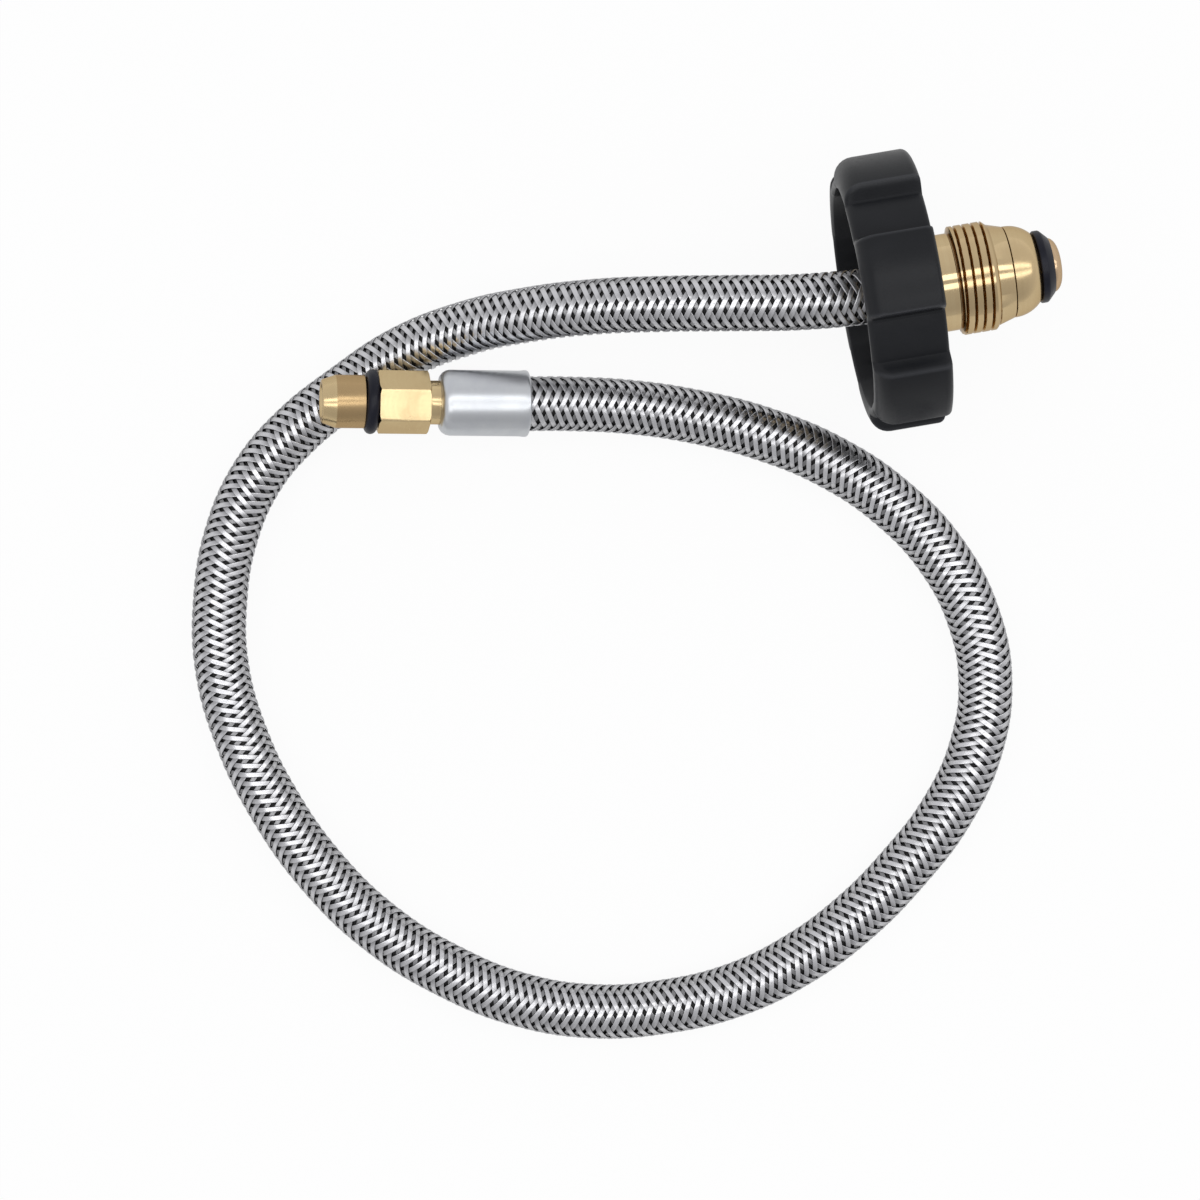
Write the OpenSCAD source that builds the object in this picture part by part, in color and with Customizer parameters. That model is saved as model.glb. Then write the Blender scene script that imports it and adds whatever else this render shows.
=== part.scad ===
// Propane cylinder hose: a POL handwheel connector, a steel-braided hose in one
// loose loop, and a small brass outlet fitting that lies on the hose.
// +X runs along the connector's axis towards its nose, +Z is up, z = 0 is the surface
// that the hose lies on, and x = 0 is half way between wheel back and nose tip.

/* [Handwheel] */
// Diameter over the lobes
wheel_d = 57; // [50:0.5:70]
// Width along the axis
wheel_w = 15.6; // [12:0.1:20]
// Number of finger lobes
lobe_count = 6; // [4:1:9]
// Height of a lobe above the valley beside it
lobe_rise = 3.4; // [2:0.1:5]
// Half angle of a lobe's crown
lobe_half_angle = 14.1; // [8:0.1:18]
// Extra half angle of a lobe at its foot, which slopes its sides
lobe_slope_angle = 5.8; // [1:0.1:7]
// Turn of the lobes about the axis
lobe_turn = 2.8; // [-30:0.1:30]
// Wall of the rim in a valley
rim_wall = 2.7; // [2:0.1:4]
// Thickness of the web at the front
web_t = 3.4; // [2.5:0.1:5]
// Rounding of the back corner of a lobe
back_round = 4; // [2:0.1:5]
// Rounding of the front corner of a lobe
front_round = 1.6; // [0.5:0.1:2.5]
// Rounding of the rim's back corner in a valley
valley_back_round = 1.6; // [0.5:0.1:2]
// Rounding of the rim's front corner in a valley
valley_front_round = 1; // [0.5:0.1:2]
// Radial widening of the cup from the web to its mouth
cup_draft = 0.3; // [0:0.1:1]
// Wall of the hub around the nut's hexagon
hub_wall = 2.2; // [1.5:0.1:4]
// Thickness of the ribs between hub and rim
rib_t = 1.6; // [1:0.1:3]
// How far the ribs stand back from the rear face of the hub
rib_inset = 3; // [1:0.5:5]

/* [Nut] */
// Major diameter of the left-hand thread
thread_d = 22.48; // [20:0.01:26]
// Length of the threaded part with its relief groove
thread_len = 8.4; // [6:0.1:12]
// Width of the relief groove behind the thread
relief_w = 0.7; // [0.4:0.1:1.5]
// Depth of the relief groove below the shank
relief_depth = 0.4; // [0.2:0.05:0.6]
// Diameter of the plain shank behind the thread
shank_d = 20; // [18.5:0.1:20.5]
// Length of the plain shank in front of the wheel
shank_len = 4.9; // [3:0.1:8]
// Length of the tapered end in front of the thread
lead_len = 3.5; // [3:0.1:6]
// Diameter at the very front of the nut
lead_d = 18.9; // [17.5:0.1:19.5]
// Width across the flats of the hexagon in the hub
hex_af = 24; // [23:0.1:26]
// Length of the hexagon
hex_len = 8; // [6:0.1:9]
// Depth that the hexagon sinks into the wheel's web
hex_sink = 1.4; // [0.5:0.1:2]

/* [Nipple] */
// Gap between the nut's front face and the nipple's shoulder
joint_gap = 0.3; // [0.2:0.05:0.6]
// Length of the bullet nose up to the ring
nose_len = 5.5; // [4:0.1:7]
// Diameter of the nose at its shoulder
nose_d = 18.8; // [17:0.1:19.2]
// Radius of the arc that rounds the nose
nose_arc_r = 7; // [6.5:0.1:9]
// Diameter of the stem that turns in the nut
stem_d = 9.2; // [8.6:0.1:10]
// Diametral play of the stem in the nut
stem_play = 0.16; // [0.04:0.02:0.2]
// Length of the domed tip beyond the ring
tip_len = 2.3; // [1.5:0.1:3]
// Diameter of the domed tip at the ring
tip_d = 11.2; // [10.6:0.1:12]
// Diameter of the gas passage
passage_d = 3.6; // [2.5:0.1:4]

/* [Nose ring] */
// Outside diameter of the rubber ring on the nose
nose_ring_d = 15.2; // [14.6:0.1:16]
// Thickness of the rubber rings
ring_t = 2.6; // [2:0.05:3]

/* [Excess flow valve] */
// Bore of the valve chamber
chamber_d = 5.8; // [5.4:0.1:6]
// Travel of the poppet to its seat
poppet_travel = 2.5; // [1.5:0.1:3]
// Wire of the spring
spring_wire = 0.4; // [0.3:0.05:0.5]
// Turns of the spring
spring_turns = 5; // [3:1:8]
// Thickness of the poppet's disc
poppet_disc = 1.5; // [1:0.1:2]
// Length of the poppet's cone
poppet_cone = 1.6; // [1:0.1:2]

/* [Hose] */
// Outside diameter of the braid
hose_d = 11.6; // [10.8:0.1:12.4]
// Thickness of the braid
braid_t = 0.7; // [0.4:0.1:1]
// Bore of the rubber liner
liner_bore = 6.3; // [5.8:0.1:7]
// Length of hose held in a ferrule
grip_len = 17; // [13:0.5:20]
// Distance from one barb to the next
barb_pitch = 3; // [2:0.1:4]
// Height of a barb
barb_rise = 0.45; // [0.2:0.05:0.6]

/* [Ferrules] */
// Outside diameter of a ferrule
ferrule_d = 14; // [13.6:0.1:14.8]
// Thickness of the turned-in front end
ferrule_lip = 1.7; // [1:0.1:2.5]
// Rounding of the front shoulder
ferrule_round = 2.6; // [1:0.1:3]
// Depth of the flats that the crimping jaws press
crimp_depth = 0.16; // [0.05:0.01:0.3]
// Number of crimping jaws
crimp_jaws = 8; // [6:1:12]
// Length that stays round at the mouth
crimp_from = 1.2; // [0.5:0.1:2]

/* [Outlet fitting] */
// Diameter of the outlet's plain end
outlet_d = 11.11; // [10.6:0.01:12]
// Length of the plain end
outlet_len = 6.1; // [5:0.1:9]
// Length of the cone at the tip
cone_len = 3; // [2:0.1:4]
// Wall of the tip's flat end
outlet_lip = 0.8; // [0.5:0.1:1.5]
// Diameter of the tip's flat end
cone_end_d = 9; // [8:0.1:10]
// Width across the flats of the outlet's hexagon
outlet_hex_af = 11.6; // [11.2:0.1:13]
// Length of the outlet's hexagon
outlet_hex_len = 11; // [8:0.1:14]
// Chamfer on the corners of the hexagon's ends
hex_chamfer = 0.6; // [0.2:0.1:0.8]
// Length of bare neck between hexagon and ferrule
neck_len = 1.9; // [1:0.1:4]
// Diameter of the neck
neck_d = 9.2; // [8.6:0.1:9.6]
// Outside diameter of the outlet's rubber ring
outlet_ring_d = 13.5; // [13:0.1:14.5]
// Upward tilt of the outlet fitting
outlet_tilt = 10.5; // [8:0.1:12]
// Turn of the outlet fitting seen from above
outlet_turn = 9.6; // [8:0.1:11]

/* [Hidden] */
$fn = 96;

eps = 0.01;             // how far a cutter runs past the face that it cuts
press_gap = 0.02;       // radial gap between pieces pressed or crimped together
slip_gap = 0.05;        // radial gap between pieces pushed together
free_gap = 0.5;         // radial gap around pieces that only pass each other
edge = 0.3;             // small chamfer on an edge
hex_round = cos(30);    // flat radius of a hexagon with a corner radius of 1

// Places along the connector's axis, counted from the wheel's back face.
hex_from = wheel_w - web_t + hex_sink - hex_len;
hex_to = hex_from + hex_len;
thread_from = wheel_w + shank_len;
relief_to = thread_from + relief_w;
thread_to = thread_from + thread_len;
nut_to = thread_to + lead_len;
nose_from = nut_to + joint_gap;
ring_from = nose_from + nose_len;
ring_to = ring_from + ring_t + 2 * slip_gap;
tip_to = ring_to + tip_len;
back_x = -tip_to / 2;   // the wheel's back face in the part's frame
axis_z = wheel_d / 2;

// Ferrule and hose end, counted from the ferrule's mouth towards its fitting.
ferrule_len = grip_len + ferrule_lip;
ferrule_bore = hose_d + 2 * press_gap;
mouth_from = 3.9;       // the mouth of the connector's ferrule, inside the wheel
pol_stop = mouth_from + grip_len;
recess_d = ferrule_d + 2 * free_gap;
recess_to = mouth_from + ferrule_len + free_gap;

// The inner wall of the wheel is round, and the lobes stand on the outside of the rim.
valley_r = wheel_d / 2 - lobe_rise;
cup_r = valley_r - rim_wall;
pocket_r = (hex_af / 2 + slip_gap) / hex_round;
hub_r = pocket_r + hub_wall;
rib_from = hex_from + rib_inset;

// Liner and braid are concentric, with the fitting's barbs inside the liner. The barbs
// end inside the flats of the liner's twelve-sided bore.
braid_in_r = hose_d / 2 - braid_t;
liner_r = braid_in_r - slip_gap;
hose_sides = 12;
barb_r = liner_bore / 2 * cos(180 / hose_sides) - press_gap;
barb_root_r = barb_r - barb_rise;
barb_ramp = 0.6;        // length of the blunt side of a barb
barb_back = 0.2;        // length of its steep side
barb_rest = 1;          // plain length that stays between the last barb and the collar
passage_r = passage_d / 2;
collar_r = liner_r - 2 * edge;
tail_inset = 2;         // how far the tail's end stays inside the ferrule's mouth

// The valve chamber lies inside the stem and the nose.
chamber_r = chamber_d / 2;
plug_wall = 0.7;        // wall of the plug around a bore as wide as the chamber
plug_r = chamber_r + plug_wall;
plug_len = 3.6;
chamber_to = ring_to - plug_len;
valve_gap = 0.25;       // radial gap on both sides of the spring
poppet_gap = 0.1;       // gap between the poppet and the plug while it is open
spring_r = chamber_r - valve_gap - spring_wire / 2;
seat_r = spring_r - spring_wire / 2 - valve_gap;
seat_bore_r = passage_r / 1.2;
seat_tall = 2;
seat_reach = 0.9;       // how far the closed poppet's cone dips into the seat
poppet_r = chamber_r - edge;
poppet_front = chamber_to - poppet_gap;
seat_top = poppet_front - poppet_disc - poppet_cone - poppet_travel + seat_reach;
chamber_from = seat_top - seat_tall;
seat_bore_from = chamber_from - 1;      // where the gas passage narrows to the seat's bore

// The outlet fitting, counted from its ferrule's mouth.
outlet_hex_from = ferrule_len + neck_len;
outlet_ring_from = outlet_hex_from + outlet_hex_len;
outlet_ring_to = outlet_ring_from + ring_t + 2 * slip_gap;
outlet_cone_from = outlet_ring_to + outlet_len;
outlet_to = outlet_cone_from + cone_len;
outlet_mouth = [-91.1, -9.1, 13];
outlet_dir = [
    -cos(outlet_turn) * cos(outlet_tilt),
    sin(outlet_turn) * cos(outlet_tilt),
    sin(outlet_tilt)
];

// The free hose: out of the wheel, down to the surface, round the loop anticlockwise,
// and up again into the outlet fitting, which lies on the hose.
low_z = hose_d / 2 + slip_gap;
free_route = [
    [-31.6, 1, 28.5], [-45.6, 3.2, 27.7], [-59.6, 5.6, 25.6], [-73.6, 7.7, 22.3],
    [-87.6, 8.8, 18], [-101.6, 8.6, 12.9], [-115.6, 6, 9], [-128.6, 0.5, 6.7],
    [-140.6, -6, 5.95], [-150.6, -14.5, low_z], [-158.1, -26, low_z], [-162.6, -39, low_z],
    [-164.6, -53, low_z], [-163.1, -68, low_z], [-158.6, -83.5, low_z], [-150.6, -100, low_z],
    [-140.1, -114, low_z], [-127.6, -125, low_z], [-113.6, -133.5, low_z], [-98.6, -138.5, low_z],
    [-83.6, -140, low_z], [-68.6, -139, low_z], [-54.6, -135, low_z], [-41.1, -128.3, low_z],
    [-28.6, -119.3, low_z], [-17.6, -109, low_z], [-9.4, -97, low_z], [-5, -83.5, low_z],
    [-5.1, -69.5, low_z], [-9.6, -55.3, low_z], [-18.1, -42.5, 6], [-29.1, -32, 6.4],
    [-42.6, -23.5, 7.2], [-56.6, -17.4, 8.3], [-70.6, -13, 9.8], [-83.6, -10.3, 11.65]
];
route = concat(
    [[back_x + pol_stop, 0, axis_z], [back_x + mouth_from, 0, axis_z]],
    free_route,
    [outlet_mouth, outlet_mouth + grip_len * outlet_dir]
);

// Turns a shape that is drawn along +Z so that it runs along the connector's axis,
// with z = 0 at the wheel's back face.
module on_axis() {
    translate([back_x, 0, axis_z]) rotate([0, 90, 0]) children();
}

// The same for the outlet fitting, with z = 0 at its ferrule's mouth.
module on_outlet() {
    translate(outlet_mouth) rotate([0, 0, 180 - outlet_turn]) rotate([0, 90 - outlet_tilt, 0])
        children();
}

// A disc with rounded rims, as one turned profile.
module rounded_disc(r, from, to, low_round, high_round) {
    rotate_extrude()
        union() {
            translate([0, from + low_round]) square([r, to - from - low_round - high_round]);
            translate([0, from]) square([r - low_round, low_round + eps]);
            translate([0, to - high_round - eps]) square([r - high_round, high_round + eps]);
            translate([r - low_round, from + low_round]) circle(low_round);
            translate([r - high_round, to - high_round]) circle(high_round);
        }
}

// A cylinder with six flats, af wide across them, whose corners are chamfered at both ends.
module hexagon(af, from, to) {
    corner_r = af / 2 / hex_round;
    round_r = corner_r + eps;
    end_r = round_r - hex_chamfer;
    intersection() {
        translate([0, 0, from]) cylinder(r = corner_r, h = to - from, $fn = 6);
        rotate_extrude() polygon([
            [0, from], [end_r, from], [round_r, from + hex_chamfer / 2],
            [round_r, to - hex_chamfer / 2], [end_r, to], [0, to]
        ]);
    }
}

// A wedge that keeps one lobe of the wheel. It starts under the valley's floor and ends
// outside the crown.
module lobe_wedge() {
    crown_x = wheel_d / 2 + front_round;
    foot_x = valley_r - front_round;
    foot_y = foot_x * tan(lobe_half_angle + lobe_slope_angle);
    crown_y = crown_x * tan(lobe_half_angle);
    linear_extrude(wheel_w)
        polygon([[0, -eps], [foot_x, -foot_y], [crown_x, -crown_y],
                 [crown_x, crown_y], [foot_x, foot_y], [0, eps]]);
}

module handwheel() {
    rib_step = 360 / lobe_count;
    color("#2b2c2e") on_axis() difference() {
        union() {
            rounded_disc(valley_r, 0, wheel_w, valley_back_round, valley_front_round);
            intersection() {
                rounded_disc(wheel_d / 2, 0, wheel_w, back_round, front_round);
                union() for (i = [0 : lobe_count - 1])
                    rotate([0, 0, 180 - lobe_turn + i * rib_step]) lobe_wedge();
            }
        }
        difference() {
            translate([0, 0, -eps])
                cylinder(r1 = cup_r + cup_draft, r2 = cup_r, h = wheel_w - web_t);
            translate([0, 0, hex_from]) cylinder(r = hub_r, h = wheel_w);
            for (i = [0 : lobe_count - 1])
                rotate([0, 0, 180 - lobe_turn + (i + 0.5) * rib_step])
                    translate([0, -rib_t / 2, rib_from]) cube([valley_r, rib_t, wheel_w]);
        }
        translate([0, 0, hex_from - eps])
            cylinder(r = pocket_r, h = hex_len + slip_gap + eps, $fn = 6);
        translate([0, 0, hex_to]) cylinder(d = shank_d + 2 * slip_gap, h = wheel_w);
    }
}

module pol_nut() {
    relief_r = shank_d / 2 - relief_depth;
    color("#b99a62") on_axis() difference() {
        union() {
            hexagon(hex_af, hex_from, hex_to);
            rotate_extrude() polygon([
                [0, hex_to - eps], [shank_d / 2, hex_to - eps], [shank_d / 2, thread_from],
                [relief_r, thread_from], [relief_r, relief_to],
                [thread_d / 2 - edge, relief_to], [thread_d / 2, relief_to + edge],
                [thread_d / 2, thread_to - edge], [thread_d / 2 - edge, thread_to],
                [shank_d / 2, thread_to],
                [lead_d / 2, nut_to - edge], [lead_d / 2 - edge, nut_to], [0, nut_to]
            ]);
        }
        translate([0, 0, hex_from - eps]) cylinder(d = recess_d, h = recess_to - hex_from + eps);
        cylinder(d = stem_d + stem_play, h = nut_to + eps);
    }
}

// One barb as points of a turned profile, from its foot at z.
function barb(z) = [[barb_r, z + barb_ramp], [barb_root_r, z + barb_pitch - barb_back]];

// The barbed tail of a hose fitting, with its mouth end at z = tail_from, up to the collar.
function tail_profile(tail_from, stop) = concat(
    [[passage_r, tail_from], [barb_root_r, tail_from]],
    [for (i = [0 : floor((stop - tail_from - barb_rest) / barb_pitch) - 1])
        each barb(tail_from + i * barb_pitch)],
    [[barb_root_r, stop + press_gap], [collar_r, stop + press_gap]]
);

module pol_nipple() {
    nose_r = nose_d / 2;
    arc_from = nose_from + edge;
    arc_end = asin((ring_from - arc_from) / nose_arc_r);
    arc_steps = 8;
    collar_to = pol_stop + 2 * press_gap;
    ring_seat_r = nose_ring_d / 2 - ring_t - slip_gap;
    color("#b99a62") on_axis() rotate_extrude() polygon(concat(
        tail_profile(mouth_from + tail_inset, pol_stop),
        [[collar_r, collar_to], [stem_d / 2, collar_to], [stem_d / 2, nose_from],
         [nose_r - edge, nose_from]],
        [for (i = [0 : arc_steps]) let (t = arc_end * i / arc_steps)
            [nose_r - nose_arc_r * (1 - cos(t)), arc_from + nose_arc_r * sin(t)]],
        [[ring_seat_r, ring_from], [ring_seat_r, ring_to],
         [plug_r + press_gap, ring_to], [plug_r + press_gap, chamber_to],
         [chamber_r, chamber_to], [chamber_r, chamber_from],
         [seat_r, chamber_from], [seat_r, seat_top], [seat_bore_r + edge, seat_top],
         [seat_bore_r, seat_top - edge], [seat_bore_r, seat_bore_from],
         [passage_r, seat_bore_from - edge]]
    ));
}

module nose_tip() {
    dome_r = tip_d / 2;
    mouth_r = passage_r + edge;
    dome_steps = 8;
    color("#c9a067") on_axis() rotate_extrude() polygon(concat(
        [[passage_r, chamber_to], [plug_r, chamber_to], [plug_r, ring_to + press_gap],
         [dome_r - edge, ring_to + press_gap]],
        [for (i = [0 : dome_steps - 1]) let (t = 90 * i / dome_steps)
            [mouth_r + (dome_r - mouth_r) * cos(t), ring_to + edge + (tip_len - edge) * sin(t)]],
        [[mouth_r, tip_to], [passage_r, tip_to - edge]]
    ));
}

// A rubber ring of the outside diameter d, with its middle at z.
module rubber_ring(d, z) {
    translate([0, 0, z]) rotate_extrude() translate([(d - ring_t) / 2, 0]) circle(d = ring_t, $fn = 48);
}

module nose_ring() {
    color("#1a1c22") on_axis() rubber_ring(nose_ring_d, (ring_from + ring_to) / 2);
}

module flow_poppet() {
    disc_from = poppet_front - poppet_disc;
    flats_r = poppet_r - poppet_gap;
    color("#c9a067") on_axis() union() {
        translate([0, 0, disc_from]) intersection() {
            cylinder(r = poppet_r, h = poppet_disc);
            cylinder(r = flats_r / hex_round, h = poppet_disc, $fn = 6);
        }
        translate([0, 0, disc_from - poppet_cone])
            cylinder(r1 = passage_r / 2, r2 = seat_r - poppet_gap, h = poppet_cone + eps);
    }
}

module flow_spring() {
    wire_r = spring_wire / 2;
    from = chamber_from + wire_r + slip_gap;
    to = poppet_front - poppet_disc - wire_r - slip_gap;
    steps_a_turn = 16;
    steps = steps_a_turn * spring_turns;
    sides = 6;
    points = [for (i = [0 : steps], j = [0 : sides - 1])
        let (a = 360 * i / steps_a_turn, b = 360 * j / sides, r = spring_r + wire_r * cos(b))
            [r * cos(a), r * sin(a), from + (to - from) * i / steps + wire_r * sin(b)]];
    faces = concat(
        [for (i = [0 : steps - 1], j = [0 : sides - 1])
            let (k = (j + 1) % sides)
                each [[i * sides + j, i * sides + k, (i + 1) * sides + j],
                      [i * sides + k, (i + 1) * sides + k, (i + 1) * sides + j]]],
        [[for (j = [0 : sides - 1]) sides - 1 - j]],
        [[for (j = [0 : sides - 1]) steps * sides + j]]
    );
    color("#c8c8cc") on_axis() polyhedron(points, faces);
}

// A crimped ferrule with its mouth at z = 0 and its turned-in end towards the fitting.
module ferrule() {
    difference() {
        intersection() {
            rounded_disc(ferrule_d / 2, 0, ferrule_len, edge, ferrule_round);
            union() {
                cylinder(d = ferrule_d, h = crimp_from);
                rotate([0, 0, 180 / crimp_jaws])
                    cylinder(r = (ferrule_d / 2 - crimp_depth) / cos(180 / crimp_jaws),
                             h = ferrule_len, $fn = crimp_jaws);
            }
        }
        translate([0, 0, -eps]) cylinder(d = ferrule_bore, h = grip_len + eps);
        cylinder(d = neck_d + 2 * press_gap, h = ferrule_len + eps);
    }
}

module pol_ferrule() {
    color("#c3c8cc") on_axis() translate([0, 0, mouth_from]) ferrule();
}

module outlet_ferrule() {
    color("#c3c8cc") on_outlet() ferrule();
}

module outlet_fitting() {
    ring_seat_r = outlet_ring_d / 2 - ring_t - slip_gap;
    collar_to = grip_len + 2 * press_gap;
    flare_r = cone_end_d / 2 - outlet_lip;
    flare_from = outlet_to - flare_r + passage_r;
    color("#c9a45c") on_outlet() difference() {
        union() {
            rotate_extrude() polygon(concat(
                tail_profile(tail_inset, grip_len),
                [[collar_r, collar_to], [neck_d / 2, collar_to], [neck_d / 2, outlet_ring_from],
                 [ring_seat_r, outlet_ring_from], [ring_seat_r, outlet_ring_to],
                 [outlet_d / 2 - edge, outlet_ring_to], [outlet_d / 2, outlet_ring_to + edge],
                 [outlet_d / 2, outlet_cone_from], [cone_end_d / 2, outlet_to],
                 [flare_r, outlet_to], [passage_r, flare_from]]
            ));
            rotate([0, 0, 30]) hexagon(outlet_hex_af, outlet_hex_from, outlet_ring_from);
        }
        translate([0, 0, outlet_hex_from - eps])
            cylinder(r = passage_r, h = outlet_hex_len + 2 * eps);
    }
}

module outlet_ring() {
    color("#1a1c22") on_outlet() rubber_ring(outlet_ring_d, (outlet_ring_from + outlet_ring_to) / 2);
}

// Direction of the route at its point i, and the sideways and upward unit vectors there.
function unit(v) = v / norm(v);
function along(i) = unit(route[min(i + 1, len(route) - 1)] - route[max(i - 1, 0)]);
function sideways(i) = unit(cross([0, 0, 1], along(i)));
function upward(i) = cross(along(i), sideways(i));

// One ring of the hose at the route's point i, with a corner straight down.
function hose_ring(i, r) = [for (j = [0 : hose_sides - 1])
    let (a = 360 * j / hose_sides)
        route[i] + r * cos(a) * sideways(i) + r * sin(a) * upward(i)];

// A tube along the route, with an outer and an inner wall and flat ends.
module hose_tube(outer_r, inner_r) {
    n = hose_sides;
    last = len(route) - 1;
    outer = [for (i = [0 : last]) each hose_ring(i, outer_r)];
    inner = [for (i = [0 : last]) each hose_ring(i, inner_r)];
    start = len(outer);
    polyhedron(concat(outer, inner), concat(
        [for (i = [0 : last - 1], j = [0 : n - 1]) let (k = (j + 1) % n)
            each [[i * n + j, (i + 1) * n + j, i * n + k],
                  [i * n + k, (i + 1) * n + j, (i + 1) * n + k]]],
        [for (i = [0 : last - 1], j = [0 : n - 1]) let (k = (j + 1) % n)
            each [[start + i * n + j, start + i * n + k, start + (i + 1) * n + j],
                  [start + i * n + k, start + (i + 1) * n + k, start + (i + 1) * n + j]]],
        [for (j = [0 : n - 1]) let (k = (j + 1) % n)
            each [[j, k, start + j], [k, start + k, start + j]]],
        [for (j = [0 : n - 1]) let (k = (j + 1) % n, e = last * n)
            each [[e + j, start + e + j, e + k], [e + k, start + e + j, start + e + k]]]
    ));
}

module hose_liner() {
    color("#26262a") hose_tube(liner_r, liner_bore / 2);
}

module hose_braid() {
    color("#a9adb2") hose_tube(hose_d / 2, braid_in_r);
}

handwheel();
pol_nut();
pol_nipple();
nose_tip();
nose_ring();
flow_poppet();
flow_spring();
pol_ferrule();
hose_liner();
hose_braid();
outlet_ferrule();
outlet_fitting();
outlet_ring();
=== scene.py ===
# %% [markdown]
# # Propane cylinder hose
# A braided gas hose with a hand-tightened cylinder connector at one end and a small brass
# fitting at the other, lying in one loose loop. The rigid frame comes in first. Each cell then
# dresses one piece of it, in metres, in the same frame: +X along the connector's axis towards
# its nose, +Z up, and z = 0 where the hose lies.

# %% Load the frame
import math

import bmesh
import bpy
from mathutils import Euler, Matrix, Vector


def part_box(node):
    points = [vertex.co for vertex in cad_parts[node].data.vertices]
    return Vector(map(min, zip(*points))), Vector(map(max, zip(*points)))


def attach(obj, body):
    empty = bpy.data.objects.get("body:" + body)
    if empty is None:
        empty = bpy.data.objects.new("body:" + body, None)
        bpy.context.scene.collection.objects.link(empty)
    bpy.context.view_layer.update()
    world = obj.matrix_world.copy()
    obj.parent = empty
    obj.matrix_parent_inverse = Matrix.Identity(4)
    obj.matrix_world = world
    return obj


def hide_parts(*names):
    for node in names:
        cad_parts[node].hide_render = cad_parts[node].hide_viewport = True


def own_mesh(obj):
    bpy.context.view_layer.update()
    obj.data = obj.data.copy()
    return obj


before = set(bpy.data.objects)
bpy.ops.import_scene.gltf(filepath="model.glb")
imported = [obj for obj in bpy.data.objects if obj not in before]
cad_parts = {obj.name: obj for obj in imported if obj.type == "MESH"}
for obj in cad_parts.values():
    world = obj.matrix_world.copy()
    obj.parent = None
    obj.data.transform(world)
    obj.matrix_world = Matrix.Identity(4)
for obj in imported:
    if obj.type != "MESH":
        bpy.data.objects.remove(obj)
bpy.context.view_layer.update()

MM = 0.001
ORIGIN = (0, 0, 0)


def link(name, data):
    """Adds an object with this data to the scene."""
    added = bpy.data.objects.new(name, data)
    bpy.context.scene.collection.objects.link(added)
    return added


print("pieces in the frame:", sorted(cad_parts))

# %% [markdown]
# ## Camera
# The hose is seen from straight above, so that its whole loop reads as a drawing. A long lens
# keeps the far parts the same size as the near ones, and the camera is turned a little about
# its own line of sight, which lets the connector point up to the right.

# %% Camera
CAMERA_PLACE = (-0.0829, -0.0524, 0.650)
CAMERA_TURN = math.radians(-9.6)
LENS_MM = 90.81

camera_data = bpy.data.cameras.new("camera")
camera_data.lens = LENS_MM
camera = link("camera", camera_data)
camera.location = CAMERA_PLACE
camera.rotation_euler = (0, 0, CAMERA_TURN)
bpy.context.scene.camera = camera
print("camera height:", CAMERA_PLACE[2])

# %% [markdown]
# ## Places
# Both ends of the hose are turned parts, made round an axis. Each is modelled upright at the
# origin, with +Z as its axis and millimetres as its numbers, and is then laid in place by one
# matrix: the connector's starts at the handwheel's back face, and the outlet's at the mouth of
# its ferrule.

# %% Places of the two ends
wheel_low, wheel_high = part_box("handwheel")
WHEEL_BACK = wheel_low.x
AXIS_Z = (wheel_low.z + wheel_high.z) / 2
MOUTH_FROM = 3.9        # the mouth of the connector's ferrule, inside the wheel
OUTLET_MOUTH = Vector((-0.0911, -0.0091, 0.0130))
OUTLET_TURN = 9.6
OUTLET_TILT = 10.5


def laid_at(origin, tip, turn=0.0):
    """The matrix that tips an upright piece over, turns it about Z and moves it to origin."""
    rotation = Euler((0, math.radians(tip), math.radians(turn)))
    return Matrix.Translation(origin) @ rotation.to_matrix().to_4x4()


connector_place = laid_at((WHEEL_BACK, 0, AXIS_Z), 90)
outlet_place = laid_at(OUTLET_MOUTH, 90 - OUTLET_TILT, 180 - OUTLET_TURN)
print("wheel's back at x =", round(WHEEL_BACK, 4), "and axis at z =", round(AXIS_Z, 4))

# %% [markdown]
# ## Turning a profile
# Most brass fittings start as bar in a lathe. The same happens here: a closed outline of
# corners (radius, height) becomes one flat face, its corners are rounded with a vertex bevel
# while they are still flat, and the outline is spun once round the axis. Small fillets matter
# more than anything else to the look of metal, because they catch the light along an edge.

# %% Turned pieces
SHARP_ANGLE = 32        # degrees from which an edge is drawn sharp
FILLET_STEPS = 4


def unit(value):
    """The value kept between 0 and 1."""
    return min(1.0, max(0.0, value))


def round_outline(bm, points, fillets):
    """Closes flat points to an outline and rounds each by its fillet in mm."""
    bm.faces.new(points)
    for fillet in sorted({size for size in fillets if size > 0}):
        chosen = [point for point, size in zip(points, fillets) if size == fillet]
        bmesh.ops.bevel(
            bm, geom=chosen, offset=fillet * MM, offset_type="OFFSET", affect="VERTICES",
            segments=FILLET_STEPS, profile=0.5, material=-1, clamp_overlap=True,
        )
    bmesh.ops.delete(bm, geom=bm.faces[:], context="FACES_ONLY")


def outline(bm, corners):
    """A flat outline of corners (radius, height, fillet) in mm."""
    points = [bm.verts.new((r * MM, 0, z * MM)) for r, z, _ in corners]
    round_outline(bm, points, [fillet for _, _, fillet in corners])


def spin_round(bm, steps):
    bmesh.ops.spin(
        bm, geom=bm.verts[:] + bm.edges[:], cent=ORIGIN, axis=(0, 0, 1),
        angle=math.tau, steps=steps, use_merge=True,
    )
    bmesh.ops.remove_doubles(bm, verts=bm.verts[:], dist=1e-7)
    bmesh.ops.recalc_face_normals(bm, faces=bm.faces[:])


def rotate_all(bm, angle, axis):
    bmesh.ops.rotate(bm, verts=bm.verts[:], cent=ORIGIN, matrix=Matrix.Rotation(angle, 3, axis))


def polar(point):
    """Angle and radius of a vertex about the lathe's axis."""
    return math.atan2(point.co.y, point.co.x), math.hypot(point.co.x, point.co.y)


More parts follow.
